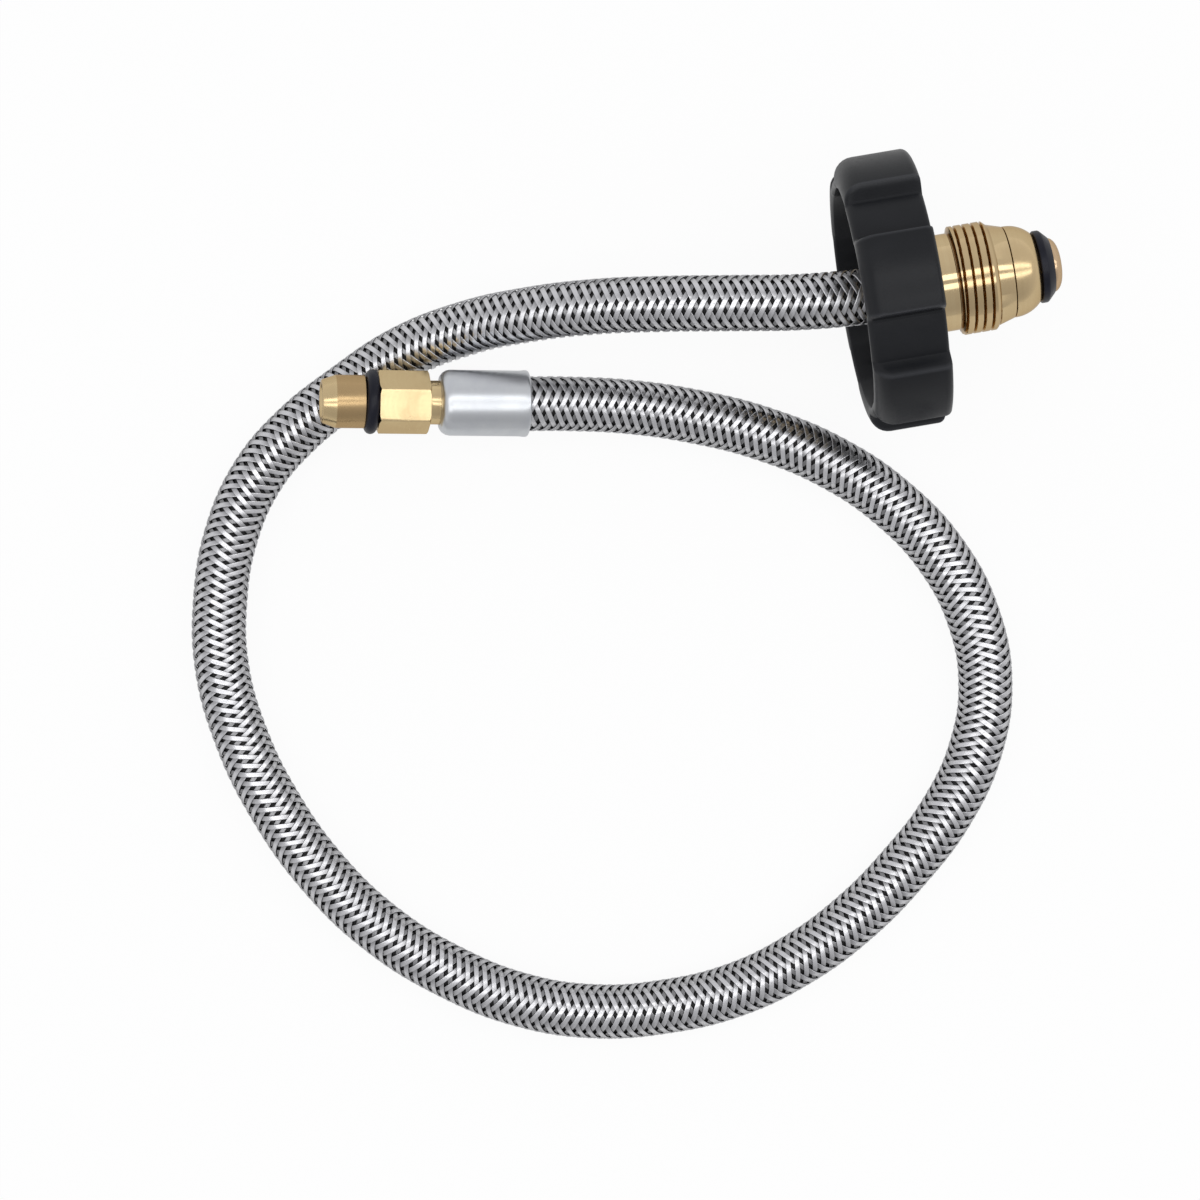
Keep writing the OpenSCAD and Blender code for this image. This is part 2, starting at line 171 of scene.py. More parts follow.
def scale_out(point, scale):
    """Moves a vertex straight out from the lathe's axis, or in."""
    point.co.x *= scale
    point.co.y *= scale


def mill_hexagon(bm, across, first_angle):
    """Six planes parallel to the axis cut the turned blank to that width across its flats."""
    for i in range(6):
        angle = math.radians(first_angle + 60 * i)
        side = Vector((math.cos(angle), math.sin(angle), 0))
        cut = bmesh.ops.bisect_plane(
            bm, geom=bm.verts[:] + bm.edges[:] + bm.faces[:], dist=1e-8,
            plane_co=side * across / 2 * MM, plane_no=side, clear_outer=True,
        )
        edges = [item for item in cut["geom_cut"] if isinstance(item, bmesh.types.BMEdge)]
        bmesh.ops.edgeloop_fill(bm, edges=[edge for edge in edges if edge.is_boundary])


def to_mesh(bm, name):
    mesh = bpy.data.meshes.new(name)
    bm.to_mesh(mesh)
    bm.free()
    return mesh


def finish_piece(bm, name, place, sharp=SHARP_ANGLE):
    """The bmesh becomes an object at the origin, with its place in its mesh."""
    bmesh.ops.transform(bm, matrix=place, verts=bm.verts[:])
    mesh = to_mesh(bm, name)
    mesh.shade_smooth()
    mesh.set_sharp_from_angle(angle=math.radians(sharp))
    print(name, "has", len(mesh.polygons), "faces")
    return link(name, mesh)

# %% [markdown]
# ## The hose's line
# A steel-braided hose is stiff: it leaves each ferrule straight, sinks to the table in a long
# slope and turns in wide bends. Its centre line is one Bezier spline through listed points,
# with automatic handles, which gives the smooth bends that the wire forces on it.

# %% Centre line
LOW = 0.00585
ROUTE = [
    (-0.0316, 0.001, 0.0285), (-0.0456, 0.0032, 0.0277), (-0.0596, 0.0056, 0.0256),
    (-0.0736, 0.0077, 0.0223), (-0.0876, 0.0088, 0.018), (-0.1016, 0.0086, 0.0129),
    (-0.1156, 0.006, 0.009), (-0.1286, 0.0005, 0.0067), (-0.1406, -0.006, 0.00595),
    (-0.1506, -0.0145, LOW), (-0.1581, -0.026, LOW), (-0.1626, -0.039, LOW),
    (-0.1646, -0.053, LOW), (-0.1631, -0.068, LOW), (-0.1586, -0.0835, LOW),
    (-0.1506, -0.1, LOW), (-0.1401, -0.114, LOW), (-0.1276, -0.125, LOW),
    (-0.1136, -0.1335, LOW), (-0.0986, -0.1385, LOW), (-0.0836, -0.14, LOW),
    (-0.0686, -0.139, LOW), (-0.0546, -0.135, LOW), (-0.0411, -0.1283, LOW),
    (-0.0286, -0.1193, LOW), (-0.0176, -0.109, LOW), (-0.0094, -0.097, LOW),
    (-0.005, -0.0835, LOW), (-0.0051, -0.0695, LOW), (-0.0096, -0.0553, LOW),
    (-0.0181, -0.0425, 0.006), (-0.0291, -0.032, 0.0064), (-0.0426, -0.0235, 0.0072),
    (-0.0566, -0.0174, 0.0083), (-0.0706, -0.013, 0.0098), (-0.0836, -0.0103, 0.01165),
]
GRIP = 0.017            # how far each ferrule holds the hose
HOSE_D = 0.0116
LINER_R = 0.00508
HOSE_ROLL = math.radians(13)        # how far the hose has rolled about its own line in the loop
ROLL_FROM, ROLL_OVER = 0.13, 0.12   # its start, and the length it builds up in

outlet_axis = outlet_place.to_3x3() @ Vector((0, 0, 1))
line_points = [
    Vector((WHEEL_BACK + MOUTH_FROM * MM + share * GRIP, 0, AXIS_Z)) for share in (1, 0.5, 0)
]
line_points += [Vector(point) for point in ROUTE]
line_points += [OUTLET_MOUTH + outlet_axis * share * GRIP for share in (0, 0.5, 1)]
HOSE_LENGTH = sum((b - a).length for a, b in zip(line_points, line_points[1:]))


def hose_line(name, radius):
    """The hose's centre line as a curve with a round section."""
    curve = bpy.data.curves.new(name, "CURVE")
    curve.dimensions = "3D"
    curve.twist_mode = "MINIMUM"
    curve.resolution_u = 12
    spline = curve.splines.new("BEZIER")
    spline.bezier_points.add(len(line_points) - 1)
    travelled = 0.0
    for i, (knot, point) in enumerate(zip(spline.bezier_points, line_points)):
        travelled += (point - line_points[max(i - 1, 0)]).length
        knot.co = point
        knot.radius = radius
        knot.tilt = HOSE_ROLL * unit((travelled - GRIP - ROLL_FROM) / ROLL_OVER)
        knot.handle_left_type = knot.handle_right_type = "AUTO"
    curve.bevel_depth = 1.0
    curve.use_radius = False
    curve.bevel_resolution = 6
    curve.use_fill_caps = True
    return link(name, curve)


hose_liner = hose_line("hose_liner_tube", LINER_R)
print("length of the hose:", round(HOSE_LENGTH, 4), "m, held", GRIP, "m in each ferrule")

# %% [markdown]
# ## The braid
# The cover is woven on a maypole braider: eight ribbons of four steel wires run round the hose
# one way and eight run round it the other way, and each goes over two and under two of the
# others. The overs line up along the hose, so the eye sees long columns of slanting strokes that
# change direction from one column to the next.
#
# One turn of the braid is modelled on a straight hose. The section of a ribbon, with one arch
# for each wire, is spun round the axis with a step forward, which makes a helix. It is repeated
# round the hose, and the crossing ribbons are its mirror image. Then each point moves in or out
# by the wave of the weave. An Array modifier repeats the turn, and a Curve modifier lays it
# along the hose.

# %% Braid
RIBBONS = 8             # in each direction
WIRES = 4               # in each ribbon
WIRE_D = 0.28
TURNS = 35
STEPS_A_TURN = 48
BRAID_TWIST = math.radians(22)
ARCH_TOP, ARCH_FOOT, RIBBON_EDGE = 0.5, 0.08, -0.34     # heights of the section, in wires
WEAVE_STEEPNESS = 1.6   # how soon a ribbon that dips under another lies flat again
ribbon_pitch = HOSE_LENGTH / TURNS / MM
slope = math.atan2(math.pi * (HOSE_D / MM - 2 * WIRE_D), ribbon_pitch)
wire_step = WIRE_D / math.sin(slope)
mid_r = HOSE_D / MM / 2 - WIRE_D * 1.06
weave_rise = WIRE_D * 0.54


def weave(t):
    """1 where the ribbon is over two others, -1 where it is under two, with t counting them."""
    return max(-1.0, min(1.0, WEAVE_STEEPNESS * math.cos(math.pi * (t - 0.5) / 2)))


def ribbon_section():
    """Points (across, rise) in mm of one ribbon's section, with an arch for each wire."""
    half = WIRES * wire_step / 2
    section = [(-half, RIBBON_EDGE * WIRE_D)]
    for wire in range(WIRES):
        section.append((-half + (wire + 0.5) * wire_step, ARCH_TOP * WIRE_D))
        if wire < WIRES - 1:
            section.append((-half + (wire + 1) * wire_step, ARCH_FOOT * WIRE_D))
    return section + [(half, RIBBON_EDGE * WIRE_D)]


def lay_along_hose(strand):
    array = strand.modifiers.new("turns", "ARRAY")
    array.count = TURNS
    array.use_relative_offset = False
    array.use_constant_offset = True
    array.constant_offset_displace = (ribbon_pitch * MM, 0, 0)
    array.use_merge_vertices = True
    array.merge_threshold = 0.00001
    bend = strand.modifiers.new("lay along hose", "CURVE")
    bend.object = hose_liner
    bend.deform_axis = "POS_X"


def ribbon_family(name, hand, members):
    """Ribbons of one hand as one full turn, laid along X from x = 0."""
    bm = bmesh.new()
    # how deep each point lies; the braid's finish paints shade on the deep ones from it
    depth = bm.verts.layers.float.new("depth")
    section = ribbon_section()
    points = [bm.verts.new((x * MM, 0, (mid_r + rise) * MM)) for x, rise in section]
    for point, (_, rise) in zip(points, section):
        point[depth] = rise / WIRE_D
    edges = [bm.edges.new(pair) for pair in zip(points, points[1:] + points[:1])]
    bmesh.ops.spin(
        bm, geom=points + edges, cent=ORIGIN, axis=(1, 0, 0), angle=hand * math.tau,
        dvec=(ribbon_pitch * MM / STEPS_A_TURN, 0, 0), steps=STEPS_A_TURN,
    )
    one = bm.verts[:] + bm.edges[:] + bm.faces[:]
    for member in members[1:]:
        copy = bmesh.ops.duplicate(bm, geom=one)["geom"]
        verts = [item for item in copy if isinstance(item, bmesh.types.BMVert)]
        turn = Matrix.Rotation((member - members[0]) * math.tau / RIBBONS, 3, "X")
        bmesh.ops.rotate(bm, verts=verts, cent=ORIGIN, matrix=turn)
    rotate_all(bm, members[0] * math.tau / RIBBONS, "X")
    for point in bm.verts:
        angle = math.atan2(-point.co.y, point.co.z)
        along = point.co.x / MM / ribbon_pitch * RIBBONS
        round_ = angle / math.tau * RIBBONS
        own, other = round_ - hand * along, round_ + hand * along
        over = hand * weave(other + round(own))
        scale = 1 + over * weave_rise * MM / math.hypot(point.co.y, point.co.z)
        point.co.y *= scale
        point.co.z *= scale
        point[depth] += over
    rotate_all(bm, BRAID_TWIST, "X")
    bmesh.ops.recalc_face_normals(bm, faces=bm.faces[:])
    mesh = to_mesh(bm, name)
    mesh.shade_smooth()
    strand = link(name, mesh)
    lay_along_hose(strand)
    return strand


braid_strands = [
    ribbon_family("braid_right_1", 1, range(0, 4)),
    ribbon_family("braid_right_2", 1, range(4, 8)),
    ribbon_family("braid_left_1", -1, range(0, 4)),
    ribbon_family("braid_left_2", -1, range(4, 8)),
]
print("one turn of the braid is", round(ribbon_pitch, 2), "mm long")

# %% [markdown]
# ## Handwheel
# A moulded black plastic wheel, pressed on the nut's hexagon. From behind it is a cup with a hub,
# a web and ribs. Outside, six lobes give the fingers their grip. It could be cut from a block
# with booleans, but a mould maker thinks in sections, and so does this cell: the wheel's section
# through a valley is spun round the axis, and each point carries the shift that takes it to the
# section through a lobe. A smooth step decides how much of that shift each angle gets, which
# leaves soft feet at the lobes. The hub's pocket turns into a hexagon in the same way.

# %% Handwheel
LOBES = 6
LOBE_TURN = 2.8
LOBE_HALF = 16.2        # degrees of flat crown on each side of a lobe's middle
LOBE_FOOT = 19.8        # degrees at which a lobe's side has come down to the valley
VALLEY_R, CROWN_R = 25.1, 28.5
BACK_ROUND = (1.6, 4.0)     # of the rim's back corner, in a valley and on a crown
FRONT_ROUND = (1.0, 1.6)    # of its front corner
CORNER_STEPS = 7
CUP_R, CUP_DRAFT = 22.4, 0.3
WHEEL_W = (wheel_high.x - wheel_low.x) / MM
WEB_FROM = WHEEL_W - 3.4
HUB_R, HUB_DRAFT = 16.1, 0.2
HUB_FROM, HUB_TO = 5.6, 13.6
POCKET_R = HUB_R - 2.2
POCKET_FLAT = 12.04     # from the axis to a flat of the pocket
RIB_FROM = HUB_FROM + 3
RIB_T = 1.6
RIB_BITE, RIB_SINK = 0.6, 0.5       # how far a rib reaches into both walls and into the web
SHANK_HOLE_R = 10.05
DISH_FLOOR_R, DISH_R, DISH_DEEP = SHANK_HOLE_R + 1.0, SHANK_HOLE_R + 1.6, 0.6
FACE_R = SHANK_HOLE_R + 2.4     # two rings frame the front face, so that it shades flat
FACE_INSET = (1.3, 1.9)         # of the outer one, in a valley and on a crown
WHEEL_STEPS = 480


def wheel_corner(rounds, front):
    """Pairs of points (radius, height) of a rounded rim corner, in a valley and on a crown."""
    pairs = []
    for i in range(CORNER_STEPS + 1):
        turn = math.radians(90 * i / CORNER_STEPS)
        ends = []
        for outer, fillet in zip((VALLEY_R, CROWN_R), rounds):
            if front:
                ends.append((outer - fillet + fillet * math.cos(turn),
                             WHEEL_W - fillet + fillet * math.sin(turn)))
            else:
                ends.append((outer - fillet + fillet * math.sin(turn),
                             fillet - fillet * math.cos(turn)))
        pairs.append(ends)
    return pairs


def lobe_share(angle):
    """1 on a lobe's crown, 0 in a valley, and a smooth slope between, for an angle in degrees."""
    step = 360 / LOBES
    off = abs((angle - 180 + LOBE_TURN + step / 2) % step - step / 2)
    t = unit((LOBE_FOOT - off) / (LOBE_FOOT - LOBE_HALF))
    return t * t * (3 - 2 * t)


def make_handwheel():
    bm = bmesh.new()
    lobe = bm.verts.layers.float_vector.new("lobe")
    pocket = bm.verts.layers.float.new("pocket")
    rim = wheel_corner(BACK_ROUND, False) + wheel_corner(FRONT_ROUND, True)
    rim.append([(outer - inset, WHEEL_W) for outer, inset in zip((VALLEY_R, CROWN_R), FACE_INSET)])
    inner = [
        (FACE_R, WHEEL_W, 0), (DISH_R, WHEEL_W, 0.3), (DISH_FLOOR_R, WHEEL_W - DISH_DEEP, 0.3),
        (SHANK_HOLE_R, WHEEL_W - DISH_DEEP, 0.2), (SHANK_HOLE_R, HUB_TO, 0),
        (POCKET_R, HUB_TO, 0), (POCKET_R, HUB_FROM, 0),
        (HUB_R, HUB_FROM, 0.5), (HUB_R + HUB_DRAFT, WEB_FROM, 1.0),
        (CUP_R, WEB_FROM, 1.4), (CUP_R + CUP_DRAFT, 0, 0.6),
    ]
    points = []
    for valley, crown in rim:
        points.append(bm.verts.new((valley[0] * MM, 0, valley[1] * MM)))
        points[-1][lobe] = ((crown[0] - valley[0]) * MM, 0, (crown[1] - valley[1]) * MM)
    for r, z, _ in inner:
        points.append(bm.verts.new((r * MM, 0, z * MM)))
        points[-1][pocket] = 1.0 if r == POCKET_R else 0.0
    round_outline(bm, points, [0] * len(rim) + [fillet for _, _, fillet in inner])
    spin_round(bm, WHEEL_STEPS)
    for point in bm.verts:
        angle, radius = polar(point)
        angle = math.degrees(angle)
        new_radius = radius + point[lobe].x * lobe_share(angle)
        if point[pocket] > 0.5:
            new_radius = POCKET_FLAT * MM / math.cos(math.radians(angle % 60 - 30))
        scale_out(point, new_radius / radius)
        point.co.z += point[lobe].z * lobe_share(angle)
    bmesh.ops.recalc_face_normals(bm, faces=bm.faces[:])
    return finish_piece(bm, "handwheel_moulding", connector_place)


def make_ribs():
    """Six ribs between hub and rim, as one helper mesh that is then joined to the wheel."""
    bm = bmesh.new()
    length = CUP_R + RIB_BITE - HUB_R + RIB_BITE
    rib_to = WEB_FROM + RIB_SINK
    size = (length * MM, RIB_T * MM, (rib_to - RIB_FROM) * MM)
    middle = ((CUP_R + HUB_R) / 2 * MM, 0, (RIB_FROM + rib_to) / 2 * MM)
    for i in range(LOBES):
        angle = math.radians(180 - LOBE_TURN + (i + 0.5) * 360 / LOBES)
        rib = bmesh.ops.create_cube(bm, size=1)["verts"]
        bmesh.ops.scale(bm, verts=rib, vec=size)
        bmesh.ops.translate(bm, verts=rib, vec=middle)
        bmesh.ops.rotate(bm, verts=rib, cent=ORIGIN, matrix=Matrix.Rotation(angle, 3, "Z"))
    return finish_piece(bm, "ribs", connector_place)


def join_ribs(piece, ribs):
    union = piece.modifiers.new("ribs", "BOOLEAN")
    union.operation = "UNION"
    union.solver = "EXACT"
    union.object = ribs
    graph = bpy.context.evaluated_depsgraph_get()
    joined = bpy.data.meshes.new_from_object(piece.evaluated_get(graph))
    piece.modifiers.clear()
    piece.data = joined
    bpy.data.objects.remove(ribs)
    joined.set_sharp_from_angle(angle=math.radians(SHARP_ANGLE))


handwheel = make_handwheel()
join_ribs(handwheel, make_ribs())
print("handwheel with ribs has", len(handwheel.data.polygons), "faces")

# %% [markdown]
# ## Nut
# The brass nut is turned from hexagon bar. Its hexagon sits in the hub, its shank comes out of
# the wheel, and its left-hand thread screws into the cylinder valve. The thread is real
# geometry: the blank's section gets a row of points for each few hundredths of a turn, and after
# the spin each of them moves out to the height of the thread at its angle. Where a right-hand
# thread climbs with the angle, a left-hand one falls. A narrow relief groove lies between thread
# and shank.

# %% Nut
THREAD_FROM, THREAD_TO, NUT_TO = 20.3, 28.9, 32.4
THREAD_R, ROOT_R, SHANK_R = 11.24, 10.30, 10.0
THREAD_PITCH = 25.4 / 14
THREAD_PHASE = 0.685
THREAD_ROWS = 128
FLANK_FOOT, FLANK_LONG = 0.97, 0.29     # of the half pitch between a crest and a root
FADE_TO = THREAD_TO + 0.4       # where the last thread has run out
LAST_ROW = THREAD_TO + 0.3
CREST_FADE, ROOT_FADE, LEAD_TAPER = 0.9, 0.5, 0.15      # radius for each mm along the axis
RELIEF_AT, RELIEF_R, RELIEF_HALF, RELIEF_STEEP = 21.0, 9.6, 0.13, 5.0
NUT_HEX = 24.0
HEX_END_R = 12.3        # of the chamfer that turns the hexagon's corners off
LEAD_R, BORE_R, RECESS_R, RECESS_TO = 9.45, 4.68, 7.5, 23.1
OUTSIDE_R = 9           # the thread's points lie beyond it, and the bore's within
NOSE_GAP = 0.15


def thread_radius(angle, z):
    """Radius of a left-hand V thread, with a flat crest, a flat root and a run-out at its end."""
    share = (z / THREAD_PITCH + angle / math.tau - THREAD_PHASE) % 1
    from_crest = abs(share - 0.5) * 2
    height = unit((FLANK_FOOT - from_crest) / FLANK_LONG)
    limit = min(THREAD_R, ROOT_R + (FADE_TO - z) * CREST_FADE)
    lead = SHANK_R - (z - THREAD_TO) * LEAD_TAPER
    root = min(ROOT_R, lead + (FADE_TO - z) * ROOT_FADE)
    radius = root + max(0.0, limit - root) * height if z > RELIEF_AT else SHANK_R
    relief = RELIEF_R + RELIEF_STEEP * max(0.0, abs(z - RELIEF_AT) - RELIEF_HALF)
    return max(min(radius, relief), RELIEF_R)


def make_nut():
    bm = bmesh.new()
    step = (LAST_ROW - THREAD_FROM) / THREAD_ROWS
    rows = [(SHANK_R, THREAD_FROM + i * step, 0) for i in range(THREAD_ROWS + 1)]
    blank_r = NUT_HEX / math.sqrt(3) + 0.05
    outline(bm, [
        (RECESS_R, HUB_FROM, 0.3), (HEX_END_R, HUB_FROM, 0), (blank_r, HUB_FROM + 1, 0),
        (blank_r, HUB_TO, 0), (SHANK_R, HUB_TO, 0), (SHANK_R, THREAD_FROM - 0.04, 0),
        (SHANK_R, THREAD_FROM - 0.02, 0), *rows, (LEAD_R, NUT_TO, 0.2), (BORE_R, NUT_TO, 0.2),
        (BORE_R, RECESS_TO, 0), (RECESS_R, RECESS_TO, 0),
    ])
    spin_round(bm, 168)
    for point in bm.verts:
        z = point.co.z / MM
        angle, radius = polar(point)
        if THREAD_FROM - 0.01 < z < LAST_ROW + 0.01 and radius > OUTSIDE_R * MM:
            scale_out(point, thread_radius(angle, z) * MM / radius)
    mill_hexagon(bm, NUT_HEX, 30)
    return finish_piece(bm, "nut_brass", connector_place, sharp=50)


nut = make_nut()

# %% [markdown]
# ## Nipple, nose ring and tip
# The nipple is one long turned piece: barbs in the hose, a stem that the nut turns on, and the
# bullet-shaped nose that seats in the valve. A groove at the end of the nose carries a soft
# rubber ring, and a separate domed tip of redder brass closes the valve chamber behind it.

# %% Nipple and tip
GRIP_MM = GRIP / MM
FERRULE_LEN = GRIP_MM + 1.7
BARB_R, BARB_ROOT_R, BARB_PITCH = 3.02, 2.57, 3.0
PASSAGE_R = 1.8
COLLAR_R, STEM_R = 4.45, 4.6
NOSE_FROM = NUT_TO + NOSE_GAP
NOSE_R, NOSE_ARC_R, NOSE_PLAIN, NOSE_STEPS = 9.4, 7.0, 0.35, 20
RING_FROM, RING_TO, GROOVE_R = 38.35, 40.9, 4.85
CHAMBER_FROM, CHAMBER_TO, CHAMBER_R = 30.5, 37.3, 2.9
SEAT_TO, SEAT_R, SEAT_BORE_R = 32.5, 2.0, 1.5
PLUG_HOLE_R, PLUG_R = 3.65, 3.6
TIP_TO, TIP_FLANGE_R = 43.2, 5.5
DOME_FROM, DOME_R, DOME_TOP_R, DOME_STEPS = RING_TO + 0.3, 5.6, 2.2, 12
SEAL_R, SEAL_IN_R, SEAL_FLAT = 7.45, 5.0, 1.35
SEAL_FRONT = ((5.75, RING_TO + 0.45, 0.1), (5.65, RING_TO - 0.05, 0))


def barbed_tail(start, stop):
    """Corners of the barbs that hold the hose, from its inner end to the collar."""
    corners = [(PASSAGE_R, start, 0.2), (BARB_ROOT_R, start, 0.2)]
    for i in range(int((stop - start - 1) / BARB_PITCH)):
        z = start + i * BARB_PITCH
        corners += [(BARB_R, z + 0.6, 0), (BARB_ROOT_R, z + BARB_PITCH - 0.2, 0)]
    return corners + [(BARB_ROOT_R, stop, 0), (COLLAR_R, stop, 0)]


def make_nipple():
    bm = bmesh.new()
    stop = MOUTH_FROM + GRIP_MM + 0.02
    curve = []
    last = math.asin((RING_FROM - NOSE_FROM - NOSE_PLAIN) / NOSE_ARC_R)
    for i in range(NOSE_STEPS + 1):
        turn = last * i / NOSE_STEPS
        curve.append((
            NOSE_R - NOSE_ARC_R * (1 - math.cos(turn)),
            NOSE_FROM + NOSE_PLAIN + NOSE_ARC_R * math.sin(turn), 0,
        ))
    nose_end = curve[-1][0]
    outline(bm, [
        *barbed_tail(MOUTH_FROM + 2, stop), (COLLAR_R, stop + 0.01, 0),
        (STEM_R, stop + 0.02, 0), (STEM_R, NOSE_FROM, 0), (NOSE_R, NOSE_FROM, 0.12), *curve,
        (nose_end - 0.3, RING_FROM, 0.15), (GROOVE_R, RING_FROM, 0.3), (GROOVE_R, RING_TO, 0),
        (PLUG_HOLE_R, RING_TO, 0), (PLUG_HOLE_R, CHAMBER_TO, 0),
        (CHAMBER_R, CHAMBER_TO, 0), (CHAMBER_R, CHAMBER_FROM, 0),
        (SEAT_R, CHAMBER_FROM, 0), (SEAT_R, SEAT_TO, 0),
        (SEAT_BORE_R + 0.3, SEAT_TO, 0), (SEAT_BORE_R, SEAT_TO - 0.3, 0),
        (SEAT_BORE_R, CHAMBER_FROM - 1, 0), (PASSAGE_R, CHAMBER_FROM - 1.3, 0),
    ])
    spin_round(bm, 128)
    return finish_piece(bm, "nipple_brass", connector_place)


def make_tip():
    bm = bmesh.new()
    dome = []
    for i in range(DOME_STEPS):
        turn = math.radians(7.2 * i)
        dome.append((
            DOME_TOP_R + (DOME_R - DOME_TOP_R) * math.cos(turn),
            DOME_FROM + (TIP_TO - DOME_FROM) * math.sin(turn), 0,
        ))
    outline(bm, [
        (PASSAGE_R, CHAMBER_TO, 0), (PLUG_R, CHAMBER_TO, 0.2), (PLUG_R, RING_TO + 0.02, 0),
        (TIP_FLANGE_R, RING_TO + 0.02, 0), *dome, (PASSAGE_R, TIP_TO, 0.3),
    ])
    spin_round(bm, 96)
    return finish_piece(bm, "tip_brass", connector_place)


def make_nose_ring():
    """The soft seal of the nose: square at its back, and bevelled to the front."""
    bm = bmesh.new()
    back = RING_FROM + 0.05
    outline(bm, [
        (SEAL_IN_R, back, 0), (SEAL_R, back, 0.25), (SEAL_R, RING_FROM + SEAL_FLAT, 0.25),
        *SEAL_FRONT, (SEAL_IN_R, RING_TO - 0.05, 0),
    ])
    spin_round(bm, 128)
    return finish_piece(bm, "nose_ring_rubber", connector_place)


nipple = make_nipple()
tip = make_tip()
nose_ring = make_nose_ring()

# %% [markdown]
# ## Valve spring
# Behind the poppet stands a small spring of round wire. A helix is a circle that is spun and
# lifted a little at every step. The spring is modelled at one length; on the real valve it
# shortens towards its seat as the poppet closes.

# %% Valve spring
SPRING_R, SPRING_WIRE_R, SPRING_TURNS = 2.45, 0.2, 5
SPRING_FROM, SPRING_TO = 30.75, 35.45       # of the wire's middle
SPRING_STEPS = 36 * SPRING_TURNS


def make_valve_spring():
    bm = bmesh.new()
    start = Matrix.Translation((SPRING_R * MM, 0, SPRING_FROM * MM))
    start = start @ Matrix.Rotation(math.radians(90), 4, "X")
    bmesh.ops.create_circle(bm, segments=12, radius=SPRING_WIRE_R * MM, matrix=start)
    bmesh.ops.spin(
        bm, geom=bm.verts[:] + bm.edges[:], cent=ORIGIN, axis=(0, 0, 1),
        dvec=(0, 0, (SPRING_TO - SPRING_FROM) * MM / SPRING_STEPS),
        angle=math.tau * SPRING_TURNS, steps=SPRING_STEPS, use_merge=False,
    )
    bmesh.ops.holes_fill(bm, edges=[edge for edge in bm.edges if edge.is_boundary])
    bmesh.ops.recalc_face_normals(bm, faces=bm.faces[:])
    return finish_piece(bm, "valve_spring_steel", connector_place)


valve_spring = make_valve_spring()

# %% [markdown]
# ## Ferrules
# A steel sleeve is crimped over the hose at each end by a ring of jaws. The blank is turned with
# a round shoulder, and eight jaws then leave shallow flats. They are so soft that a cosine of
# the angle describes them well: each vertex moves in by its share of the crimp's depth.

# %% Ferrules
FERRULE_R, SHOULDER_ROUND = 7.0, 2.6
HOSE_HOLE_R = HOSE_D / MM / 2 + 0.02
NECK_HOLE_R = 4.62
CRIMP_DEPTH = 0.1
CRIMP_FROM, CRIMP_OVER = 0.9, 0.9   # its start, and the length it deepens in
JAWS, JAW_TURN = 8, math.radians(175)


def make_ferrule(name, place):
    bm = bmesh.new()
    rows = [(FERRULE_R, CRIMP_FROM + i * 0.5, 0) for i in range(3)]
    outline(bm, [
        (HOSE_HOLE_R, 0, 0.2), (FERRULE_R, 0, 0.45), *rows,
        (FERRULE_R, FERRULE_LEN, SHOULDER_ROUND), (NECK_HOLE_R, FERRULE_LEN, 0.15),
        (NECK_HOLE_R, GRIP_MM, 0), (HOSE_HOLE_R, GRIP_MM, 0),
    ])
    spin_round(bm, 192)
    for point in bm.verts:
        angle, radius = polar(point)
        if radius > HOSE_D / 2 + 0.5 * MM:
            share = unit((point.co.z / MM - CRIMP_FROM) / CRIMP_OVER)
            wave = 1 + math.cos(JAWS * (angle - JAW_TURN))
            scale_out(point, 1 - share * CRIMP_DEPTH * MM / radius * wave / 2)
    return finish_piece(bm, name, place)


outlet_ferrule = make_ferrule("outlet_ferrule_steel", outlet_place)
connector_ferrule = make_ferrule(
    "connector_ferrule_steel", connector_place @ Matrix.Translation((0, 0, MOUTH_FROM * MM)),
)

# %% [markdown]
# ## Outlet fitting
# The small fitting is turned from brass bar and then milled: a neck for the ferrule, a hexagon
# for the spanner, a groove for its rubber ring, a plain end and a coned tip. The hexagon is cut
# the way a mill cuts it, by six planes across the turned blank, so that the blank's chamfers
# leave the curved corners that every real nut has.

# %% Outlet fitting
OUTLET_HEX_FROM = FERRULE_LEN + 2.3
OUTLET_HEX_TO = OUTLET_HEX_FROM + 10.6
OUTLET_RING_TO = OUTLET_HEX_TO + 2.7
OUTLET_PLAIN_TO = OUTLET_RING_TO + 6.1
OUTLET_TO = OUTLET_PLAIN_TO + 3
OUTLET_HEX, OUTLET_HEX_TURN = 11.6, -10
BLANK_END_R, BLANK_CHAMFER = 6.2, 0.28
OUTLET_R = 11.11 / 2
CONE_END_R, CONE_MOUTH_R, MOUTH_DEEP = 4.5, 3.7, 1.9
NECK_R, OUTLET_GROOVE_R = 4.6, 4.0
RING_D, RING_T, RING_LEAN = 13.5, 2.6, 2.0


def soften_hexagon(bm, corner_r):
    """Rounds the six long edges of a milled hexagon."""
    long_edges = [
        edge for edge in bm.edges
        if all(polar(vert)[1] > corner_r * 0.985 * MM for vert in edge.verts)
        and abs(edge.verts[0].co.z - edge.verts[1].co.z) > 4 * MM
    ]
    bmesh.ops.bevel(
        bm, geom=long_edges, offset=0.1 * MM, offset_type="OFFSET", affect="EDGES",
        segments=3, profile=0.5, material=-1,
    )
    return len(long_edges)


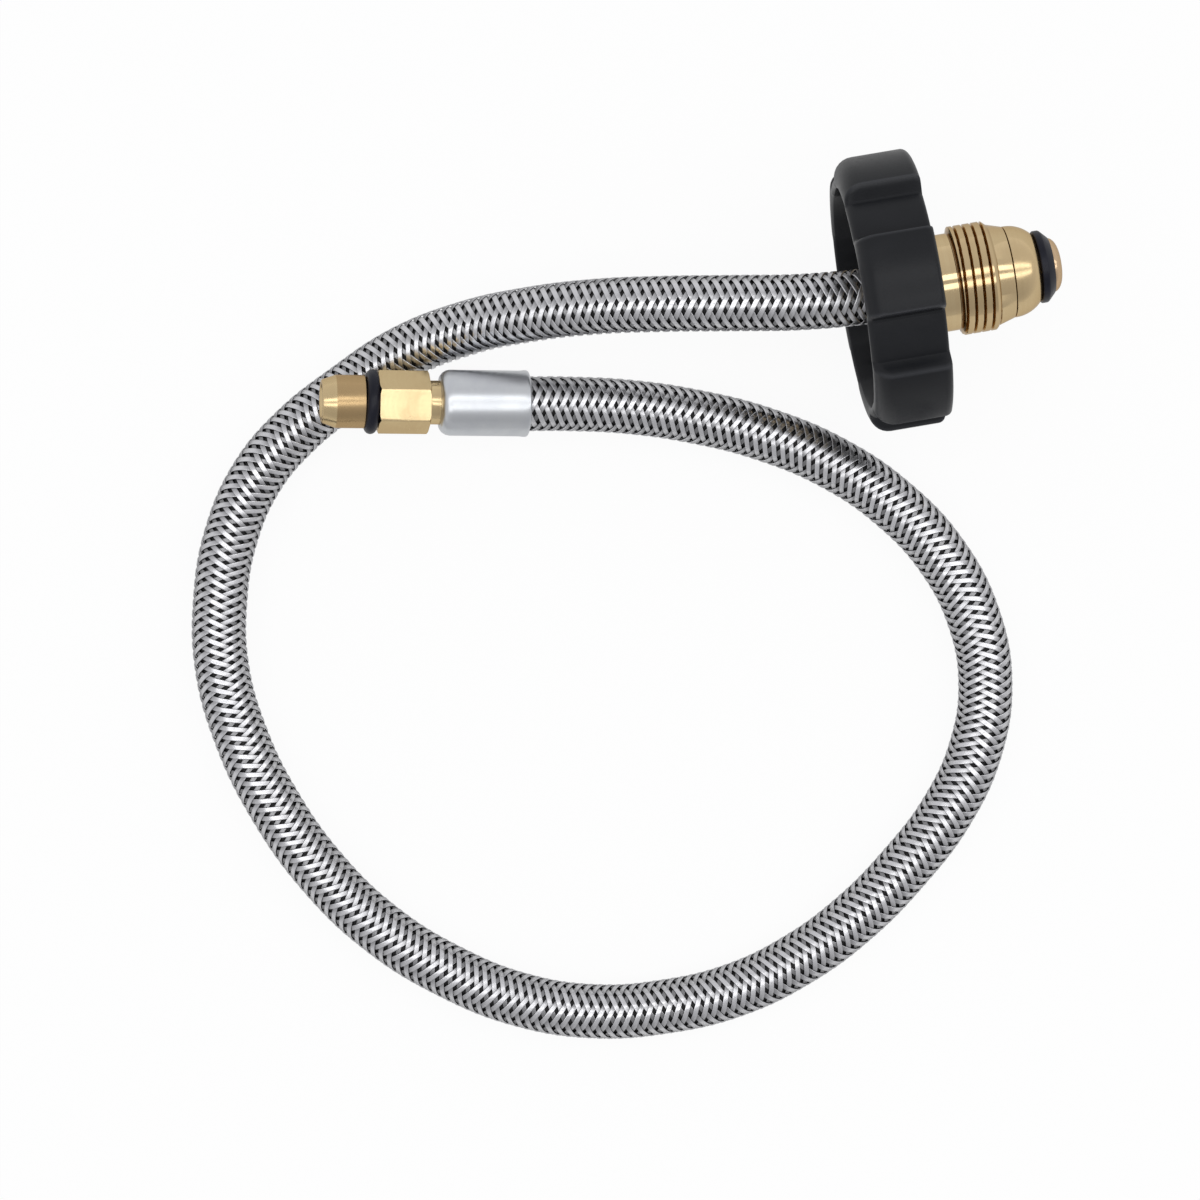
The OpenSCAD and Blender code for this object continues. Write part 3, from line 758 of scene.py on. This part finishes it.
def make_outlet():
    bm = bmesh.new()
    corner_r = OUTLET_HEX / math.sqrt(3)
    blank_r = corner_r + 0.02
    outline(bm, [
        *barbed_tail(2, GRIP_MM + 0.02), (COLLAR_R, GRIP_MM + 0.04, 0), (NECK_R, GRIP_MM + 0.04, 0),
        (NECK_R, OUTLET_HEX_FROM, 0.4), (BLANK_END_R, OUTLET_HEX_FROM, 0),
        (blank_r, OUTLET_HEX_FROM + BLANK_CHAMFER, 0), (blank_r, OUTLET_HEX_TO - BLANK_CHAMFER, 0),
        (BLANK_END_R, OUTLET_HEX_TO, 0), (OUTLET_GROOVE_R, OUTLET_HEX_TO, 0.3),
        (OUTLET_GROOVE_R, OUTLET_RING_TO, 0.3), (OUTLET_R, OUTLET_RING_TO, 0.3),
        (OUTLET_R, OUTLET_PLAIN_TO, 0.1), (CONE_END_R, OUTLET_TO, 0.2),
        (CONE_MOUTH_R, OUTLET_TO, 0.15), (PASSAGE_R, OUTLET_TO - MOUTH_DEEP, 0),
    ])
    spin_round(bm, 144)
    mill_hexagon(bm, OUTLET_HEX, OUTLET_HEX_TURN)
    print("hexagon edges softened:", soften_hexagon(bm, corner_r))
    return finish_piece(bm, "outlet_brass_fitting", outlet_place)


def make_outlet_ring():
    """An O-ring: a circle stood up beside the axis, spun round it and leant in its groove."""
    bm = bmesh.new()
    bmesh.ops.create_circle(bm, cap_ends=False, radius=RING_T / 2 * MM, segments=28)
    rotate_all(bm, math.radians(90), "X")
    bmesh.ops.translate(bm, verts=bm.verts[:], vec=((RING_D - RING_T) / 2 * MM, 0, 0))
    spin_round(bm, 96)
    rotate_all(bm, math.radians(RING_LEAN), "X")
    middle = (OUTLET_HEX_TO + OUTLET_RING_TO) / 2
    bmesh.ops.translate(bm, verts=bm.verts[:], vec=(0, 0, middle * MM))
    return finish_piece(bm, "outlet_ring_rubber", outlet_place)


outlet = make_outlet()
outlet_ring = make_outlet_ring()

# %% [markdown]
# ## Material helpers
# Every finish below is procedural. One short function adds a node and wires it up, so that a
# material reads as a recipe. Patterns that belong to a turned piece need its own axis, so a
# Mapping node takes Object coordinates back to the lathe, where Z is the axis.

# %% Material helpers
def fill_socket(tree, socket, value):
    """Gives an input a number or a colour, or links another node's output to it."""
    if isinstance(value, bpy.types.NodeSocket):
        tree.links.new(value, socket)
    else:
        socket.default_value = value


def node(tree, kind, values=None, **settings):
    """Adds a shader node; values gives each named input a number, a colour or an output."""
    made = tree.nodes.new(kind)
    for setting, value in settings.items():
        setattr(made, setting, value)
    for socket, value in (values or {}).items():
        fill_socket(tree, made.inputs[socket], value)
    return made


def math_node(tree, operation, *values):
    return node(tree, "ShaderNodeMath", dict(enumerate(values)), operation=operation).outputs[0]


def parts(tree, vector):
    """The X, Y and Z outputs of a vector."""
    return node(tree, "ShaderNodeSeparateXYZ", {0: vector}).outputs


def ramp_between(tree, value, low, high, to_low=0.0, to_high=1.0, smooth=False):
    """Maps a value from one range to another and keeps it inside."""
    made = node(tree, "ShaderNodeMapRange", {
        "Value": value, "From Min": low, "From Max": high, "To Min": to_low, "To Max": to_high,
    }, interpolation_type="SMOOTHSTEP" if smooth else "LINEAR")
    return made.outputs["Result"]


def mix_colour(tree, share, first, second, most=None):
    """Goes from first to second by a share of 0 to 1, or only as far as most."""
    if most is not None:
        share = math_node(tree, "MULTIPLY", share, most)
    made = node(tree, "ShaderNodeMix", {"Factor": share}, data_type="RGBA")
    for index, value in ((6, first), (7, second)):
        fill_socket(tree, made.inputs[index], (*value, 1) if isinstance(value, tuple) else value)
    return made.outputs[2]


def new_material(name, **plain):
    """A material with its Principled shader; plain values go on the shader's own sockets."""
    material = bpy.data.materials.new(name)
    material.use_nodes = True
    tree = material.node_tree
    shader = tree.nodes["Principled BSDF"]
    for socket, value in plain.items():
        shader.inputs[socket.replace("_", " ")].default_value = value
    return material, tree, shader


def wire_up(tree, shader, colour, rough, height=None, strength=0.0, deep=0.00002):
    """Links what a recipe has mixed to the shader, with a Bump node where it has a height."""
    tree.links.new(colour, shader.inputs["Base Color"])
    tree.links.new(rough, shader.inputs["Roughness"])
    if height is not None:
        values = {"Height": height, "Strength": strength, "Distance": deep}
        bump = node(tree, "ShaderNodeBump", values)
        tree.links.new(bump.outputs["Normal"], shader.inputs["Normal"])


def new_group(name, inputs, outputs):
    group = bpy.data.node_groups.new(name, "ShaderNodeTree")
    for in_out, sockets in (("INPUT", inputs), ("OUTPUT", outputs)):
        for socket, kind in sockets.items():
            group.interface.new_socket(name=socket, in_out=in_out, socket_type="NodeSocket" + kind)
    given, result = group.nodes.new("NodeGroupInput"), group.nodes.new("NodeGroupOutput")
    return group, given.outputs, result.inputs


def use_group(tree, group, **values):
    return node(tree, "ShaderNodeGroup", values, node_tree=group).outputs


def own_place(tree, place=None):
    """Object coordinates, or the same point in the frame of a turned piece."""
    here = node(tree, "ShaderNodeTexCoord").outputs["Object"]
    if place is None:
        return here
    mapping = node(tree, "ShaderNodeMapping", {
        "Vector": here, "Location": place.to_translation(), "Rotation": place.to_euler(),
    }, vector_type="TEXTURE")
    return mapping.outputs["Vector"]

# %% [markdown]
# ## Shared effects
# Three node groups are used by several finishes. Tool marks are fine rings round a turned piece:
# one-dimensional noise along the axis, which also makes circles on its end faces. Handling is the
# slow change of sheen that fingers leave. Grain is the fine texture of a moulded or rubber skin.

# %% Tool marks
tool_marks, given, result = new_group(
    "tool marks", {"Place": "Vector", "Lines": "Float"}, {"Height": "Float", "Streak": "Float"},
)
axes = parts(tool_marks, given["Place"])
square = math_node(tool_marks, "MULTIPLY", axes["X"], axes["X"])
square = math_node(tool_marks, "MULTIPLY_ADD", axes["Y"], axes["Y"], square)
reach = math_node(tool_marks, "SQRT", square)
travel = math_node(tool_marks, "ADD", axes["Z"], reach)
travel = math_node(tool_marks, "MULTIPLY", travel, given["Lines"])
slow_travel = math_node(tool_marks, "MULTIPLY", travel, 0.22)
for along, detail, output in ((travel, 3.0, "Height"), (slow_travel, 1.0, "Streak")):
    values = {"W": along, "Scale": 1.0, "Detail": detail}
    noise = node(tool_marks, "ShaderNodeTexNoise", values, noise_dimensions="1D")
    tool_marks.links.new(noise.outputs["Fac"], result[output])

# %% Handling
handling, given, result = new_group(
    "handling", {"Place": "Vector", "Size": "Float"}, {"Smudge": "Float", "Specks": "Float"},
)
cloud = node(handling, "ShaderNodeTexNoise", {
    "Vector": given["Place"], "Scale": given["Size"], "Detail": 5.0, "Roughness": 0.6,
    "Distortion": 0.4,
})
smudge = ramp_between(handling, cloud.outputs["Fac"], 0.36, 0.66, smooth=True)
fine_size = math_node(handling, "MULTIPLY", given["Size"], 14.0)
values = {"Vector": given["Place"], "Scale": fine_size, "Detail": 2.0}
dots = node(handling, "ShaderNodeTexNoise", values)
specks = ramp_between(handling, dots.outputs["Fac"], 0.60, 0.72)
handling.links.new(smudge, result["Smudge"])
handling.links.new(specks, result["Specks"])

# %% Grain
grain, given, result = new_group(
    "grain", {"Place": "Vector", "Size": "Float"}, {"Height": "Float"},
)
values = {"Vector": given["Place"], "Scale": given["Size"]}
cells = node(grain, "ShaderNodeTexVoronoi", values, feature="SMOOTH_F1")
mottle = node(grain, "ShaderNodeTexNoise", {**values, "Detail": 4.0})
height = math_node(grain, "MULTIPLY_ADD", cells.outputs["Distance"], 0.6, mottle.outputs["Fac"])
grain.links.new(height, result["Height"])

# %% [markdown]
# ## Finishes
# Brass is never one colour: the tool leaves streaks, fingers leave warmer patches, and cutting
# oil stays brown in the roots of a thread. The colour here is mixed from those three, and the
# roughness follows the same patches, while a Bump node carries the tool marks.

# %% Brass
THREAD_BROWN, ROOT_BROWN = (0.42, 0.27, 0.15), (0.24, 0.14, 0.07)
BROWN_RADII = (0.0102, 0.0109)      # between which a groove goes from brown to clean
# painted shade on the outlet's plain end
PAINTED_SHADE_BROWN = (0.47, 0.31, 0.15)
EDGE_TINT = (0.80, 0.72, 0.62, 1)
BRASS_LINES, STEEL_LINES = 5200.0, 2600.0      # of tool marks in a metre


def between(tree, value, low, high, soft_low, soft_high):
    """1 between low and high, with a soft start after low and a soft end after high."""
    return math_node(
        tree, "MULTIPLY", ramp_between(tree, value, low, low + soft_low),
        ramp_between(tree, value, high, high + soft_high, 1.0, 0.0),
    )


def brass(name, place, fresh, worn, roughness, threaded=False, dull_and_shaded=None):
    """Turned brass. A threaded piece has brown grooves, and dull_and_shaded gives the heights in
    metres of a stretch that is rougher and painted darker brown, a painted shade."""
    material, tree, shader = new_material(name, Metallic=1.0, Specular_Tint=EDGE_TINT)
    here = own_place(tree, place)
    mark = use_group(tree, tool_marks, Place=here, Lines=BRASS_LINES)
    touch = use_group(tree, handling, Place=here, Size=130.0)
    streak = ramp_between(tree, mark["Streak"], 0.35, 0.65)
    colour = mix_colour(tree, streak, fresh, worn, most=0.35)
    colour = mix_colour(tree, touch["Smudge"], colour, worn, most=0.45)
    rough = ramp_between(tree, touch["Smudge"], 0.0, 1.0, roughness, roughness + 0.08)
    rough = math_node(tree, "MULTIPLY_ADD", touch["Specks"], 0.05, rough)
    if threaded:
        axes = parts(tree, here)
        flat = node(tree, "ShaderNodeCombineXYZ", {"X": axes["X"], "Y": axes["Y"]})
        reach = node(tree, "ShaderNodeVectorMath", {0: flat.outputs[0]}, operation="LENGTH")
        deep = ramp_between(tree, reach.outputs["Value"], *BROWN_RADII, 1.0, 0.0)
        cut = between(
            tree, axes["Z"], (RELIEF_AT - 0.1) * MM, THREAD_TO * MM, 0.1 * MM, 0.4 * MM,
        )
        deep = math_node(tree, "MULTIPLY", deep, cut)
        colour = mix_colour(tree, cut, colour, THREAD_BROWN, most=0.15)
        colour = mix_colour(tree, deep, colour, ROOT_BROWN, most=0.75)
    if dull_and_shaded:
        # painted shade: the stretch is coloured darker brown; it is also made rougher
        brown = between(tree, parts(tree, here)["Z"], *dull_and_shaded, 0.2 * MM, 0.2 * MM)
        colour = mix_colour(tree, brown, colour, PAINTED_SHADE_BROWN, most=0.75)
        rough = math_node(tree, "MULTIPLY_ADD", brown, 0.08, rough)
    wire_up(tree, shader, colour, rough, mark["Height"], 0.22)
    return material


nut_finish = brass(
    "nut brass", connector_place, (0.73, 0.57, 0.33), (0.67, 0.50, 0.28), 0.08, threaded=True,
)
nose_finish = brass("nose brass", connector_place, (0.73, 0.56, 0.32), (0.68, 0.51, 0.28), 0.15)
tip_finish = brass("tip brass", connector_place, (0.70, 0.51, 0.32), (0.65, 0.46, 0.28), 0.18)
# the plain end beyond the ring is rougher and carries painted shade
outlet_finish = brass(
    "outlet brass", outlet_place, (0.73, 0.57, 0.32), (0.68, 0.51, 0.28), 0.16,
    dull_and_shaded=(OUTLET_RING_TO * MM, OUTLET_PLAIN_TO * MM),
)
valve_finish = brass("valve brass", connector_place, (0.80, 0.58, 0.30), (0.72, 0.50, 0.24), 0.18)

# %% [markdown]
# The sleeve is plated steel: paler than the brass, with broader and fainter tool marks, and
# slightly cloudy. The braid's wires are bare stainless steel. A point attribute that was made
# with the weave says how deep each wire lies, and the deep ones get painted shade: their colour
# goes darker, standing in for the shadow that the wires above them cast.

# %% Steel
DEEPEST, HIGHEST = -1.3, 1.3        # of the braid's depth attribute


def plated_steel(name, place):
    material, tree, shader = new_material(name, Metallic=1.0)
    here = own_place(tree, place)
    mark = use_group(tree, tool_marks, Place=here, Lines=STEEL_LINES)
    touch = use_group(tree, handling, Place=here, Size=160.0)
    colour = mix_colour(tree, touch["Smudge"], (0.70, 0.72, 0.74), (0.66, 0.68, 0.71))
    colour = mix_colour(tree, touch["Specks"], colour, (0.55, 0.55, 0.56), most=0.08)
    rough = ramp_between(tree, touch["Smudge"], 0.0, 1.0, 0.30, 0.34)
    wire_up(tree, shader, colour, rough, mark["Height"], 0.12)
    return material


def braid_steel():
    material, tree, shader = new_material("braid steel", Metallic=1.0)
    touch = use_group(tree, handling, Place=own_place(tree), Size=60.0)
    depth = node(tree, "ShaderNodeAttribute", attribute_name="depth").outputs["Fac"]
    # painted shade: wires that lie deep, under others or between arches, are coloured darker
    unshaded_share = math_node(tree, "POWER", ramp_between(tree, depth, DEEPEST, HIGHEST), 1.4)
    colour = mix_colour(tree, unshaded_share, (0.22, 0.22, 0.225), (0.77, 0.77, 0.79))
    colour = mix_colour(tree, touch["Smudge"], colour, (0.42, 0.42, 0.44), most=0.08)
    wire_up(tree, shader, colour, ramp_between(tree, touch["Smudge"], 0.0, 1.0, 0.26, 0.36))
    return material


ferrule_finish = plated_steel("ferrule steel", outlet_place)
connector_ferrule_finish = plated_steel("connector ferrule steel", connector_place)
spring_finish = plated_steel("spring steel", connector_place)
braid_finish = braid_steel()

# %% [markdown]
# Plastic and rubber are both black, and their difference is in the skin. The wheel is a glass
# filled nylon with a fine spark-eroded grain and a satin sheen; a painted highlight makes its
# sharp edges paler. The rings are smoother and bluer, and the liner is dull.

# %% Plastic and rubber
WHEEL_BLACKS = ((0.0105, 0.0114, 0.0135), (0.0130, 0.0140, 0.0165))
# painted highlight on the wheel's sharp edges
PAINTED_EDGE_HIGHLIGHT = (0.055, 0.057, 0.064)


def wheel_plastic():
    material, tree, shader = new_material("wheel plastic", Specular_IOR_Level=0.22)
    here = own_place(tree)
    touch = use_group(tree, handling, Place=here, Size=70.0)
    skin = use_group(tree, grain, Place=here, Size=2600.0)
    edge = node(tree, "ShaderNodeNewGeometry").outputs["Pointiness"]
    # painted highlight: sharp edges, found by pointiness, are coloured paler
    worn = ramp_between(tree, edge, 0.52, 0.57)
    colour = mix_colour(tree, touch["Smudge"], *WHEEL_BLACKS)
    colour = mix_colour(tree, worn, colour, PAINTED_EDGE_HIGHLIGHT, most=0.9)
    rough = ramp_between(tree, touch["Smudge"], 0.0, 1.0, 0.30, 0.38)
    rough = math_node(tree, "MULTIPLY_ADD", touch["Specks"], 0.06, rough)
    wire_up(tree, shader, colour, rough, skin["Height"], 0.3, deep=0.00004)
    return material


def rubber(name, colours, roughness, gloss):
    material, tree, shader = new_material(name, Specular_IOR_Level=gloss)
    here = own_place(tree)
    touch = use_group(tree, handling, Place=here, Size=220.0)
    skin = use_group(tree, grain, Place=here, Size=5200.0)
    colour = mix_colour(tree, touch["Smudge"], *colours)
    rough = ramp_between(tree, touch["Smudge"], 0.0, 1.0, *roughness)
    wire_up(tree, shader, colour, rough, skin["Height"], 0.12)
    return material


wheel_finish = wheel_plastic()
ring_finish = rubber(
    "ring rubber", ((0.0025, 0.0032, 0.0100), (0.0050, 0.0062, 0.0150)), (0.34, 0.46), 0.3,
)
liner_finish = rubber(
    "liner rubber", ((0.006, 0.006, 0.006), (0.010, 0.010, 0.011)), (0.6, 0.8), 0.5,
)

# %% [markdown]
# ## Dressing the pieces
# Each modelled piece takes the place of its node in the frame, rides on that node's body and
# gets its finish. The poppet keeps its own solid, because nothing about it needs more than a
# finish. The spring stands still on the nipple, with its own copy of its mesh.

# %% Dress
WHEEL_BODY, LINE_BODY = "wheel_and_nut", "hose_line"
DRESSED = [
    (handwheel, "handwheel", WHEEL_BODY, "handwheel_plastic", wheel_finish),
    (nut, "pol_nut", WHEEL_BODY, "connector_brass", nut_finish),
    (nipple, "pol_nipple", LINE_BODY, "nose_brass", nose_finish),
    (tip, "nose_tip", LINE_BODY, "tip_brass", tip_finish),
    (nose_ring, "nose_ring", LINE_BODY, "ring_rubber", ring_finish),
    (connector_ferrule, "pol_ferrule", LINE_BODY, "ferrule_steel", connector_ferrule_finish),
    (outlet_ferrule, "outlet_ferrule", LINE_BODY, "ferrule_steel", ferrule_finish),
    (outlet, "outlet_fitting", LINE_BODY, "outlet_brass", outlet_finish),
    (outlet_ring, "outlet_ring", LINE_BODY, "ring_rubber", ring_finish),
    (hose_liner, "hose_liner", LINE_BODY, "liner_rubber", liner_finish),
    (valve_spring, "flow_spring", LINE_BODY, "spring_steel", spring_finish),
]
DRESSED += [
    (strand, "hose_braid", LINE_BODY, "braid_steel", braid_finish) for strand in braid_strands
]
for piece, cad_node, body, slot, finish in DRESSED:
    piece.data.materials.clear()
    piece.data.materials.append(finish)
    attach(piece, body)
    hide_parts(cad_node)
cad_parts["flow_poppet"].material_slots[0].material = valve_finish
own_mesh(valve_spring)
print("pieces dressed:", len(DRESSED))

# %% [markdown]
# ## Studio
# A wide pale floor and two soft lamps: long strips that hang over the connector, side by side,
# and leave the narrow bright lines that turned brass shows. The floor is white to the eye,
# somewhat darker in reflections, and an ordinary matt surface to every other ray, so that it
# keeps the hose's soft shadow. The world's even light is a little stronger towards +Y, along the
# connector's axis and low round the room, and it is white where the eye looks past the floor.

# %% Floor
FLOOR_HALF = 6          # metres
FLOOR_MIRRORED = 0.7
FLOOR_GLOW = 0.93

floor_bm = bmesh.new()
bmesh.ops.create_grid(floor_bm, x_segments=1, y_segments=1, size=FLOOR_HALF)
floor = link("floor", to_mesh(floor_bm, "floor"))

paper, tree, shader = new_material("paper", Roughness=0.9, Specular_IOR_Level=0.1)
shader.inputs["Base Color"].default_value = (0.95, 0.95, 0.95, 1)
ray = node(tree, "ShaderNodeLightPath").outputs
mirrored = math_node(tree, "MAXIMUM", ray["Is Glossy Ray"], ray["Is Transmission Ray"])
seen = math_node(tree, "MAXIMUM", ray["Is Camera Ray"], mirrored)
level = ramp_between(tree, ray["Is Camera Ray"], 0.0, 1.0, FLOOR_MIRRORED, 1.0)
white = node(tree, "ShaderNodeEmission", {"Color": (1, 1, 1, 1), "Strength": level})
share = math_node(tree, "MULTIPLY", seen, FLOOR_GLOW)
mixed = node(tree, "ShaderNodeMixShader", {0: share, 1: shader.outputs[0], 2: white.outputs[0]})
tree.links.new(mixed.outputs[0], tree.nodes["Material Output"].inputs["Surface"])
floor.data.materials.append(paper)

# %% World
WORLD_LEVEL, FAR_SIDE, ENDS, LOW_DOWN = 0.58, 0.14, 0.1, 0.08
LOW_FROM = 0.35         # of the direction's height, where the walls start to brighten

world = bpy.data.worlds.new("studio")
world.use_nodes = True
tree = world.node_tree
way = parts(tree, node(tree, "ShaderNodeTexCoord").outputs["Generated"])
level = math_node(tree, "MULTIPLY_ADD", way["Y"], FAR_SIDE, WORLD_LEVEL)
ends = math_node(tree, "MULTIPLY", math_node(tree, "MULTIPLY", way["X"], way["X"]), ENDS)
level = math_node(tree, "ADD", level, ends)
walls = ramp_between(tree, way["Z"], LOW_FROM, 0.0, 0.0, LOW_DOWN, smooth=True)
level = math_node(tree, "ADD", level, walls)
open_view = node(tree, "ShaderNodeLightPath").outputs["Is Camera Ray"]
level = math_node(tree, "MAXIMUM", level, open_view)
background = tree.nodes["Background"].inputs
background["Color"].default_value = (1.0, 1.0, 1.02, 1)
tree.links.new(level, background["Strength"])
bpy.context.scene.world = world
bpy.context.scene.view_settings.view_transform = "Standard"

# %% Lamps
LAMP_X, LAMP_Z, LAMP_LONG = 0.45, 0.93, 2.7


def strip_lamp(name, y, width, power):
    """A long strip along X that looks straight down."""
    lamp = bpy.data.lights.new(name, "AREA")
    lamp.shape = "RECTANGLE"
    lamp.size, lamp.size_y = LAMP_LONG, width
    lamp.energy = power
    link(name, lamp).location = (LAMP_X, y, LAMP_Z)


strip_lamp("strip_far", 0.108, 0.198, 2.75)
strip_lamp("strip_near", -0.2525, 0.212, 2.9)

# %% Update the scene
bpy.context.view_layer.update()
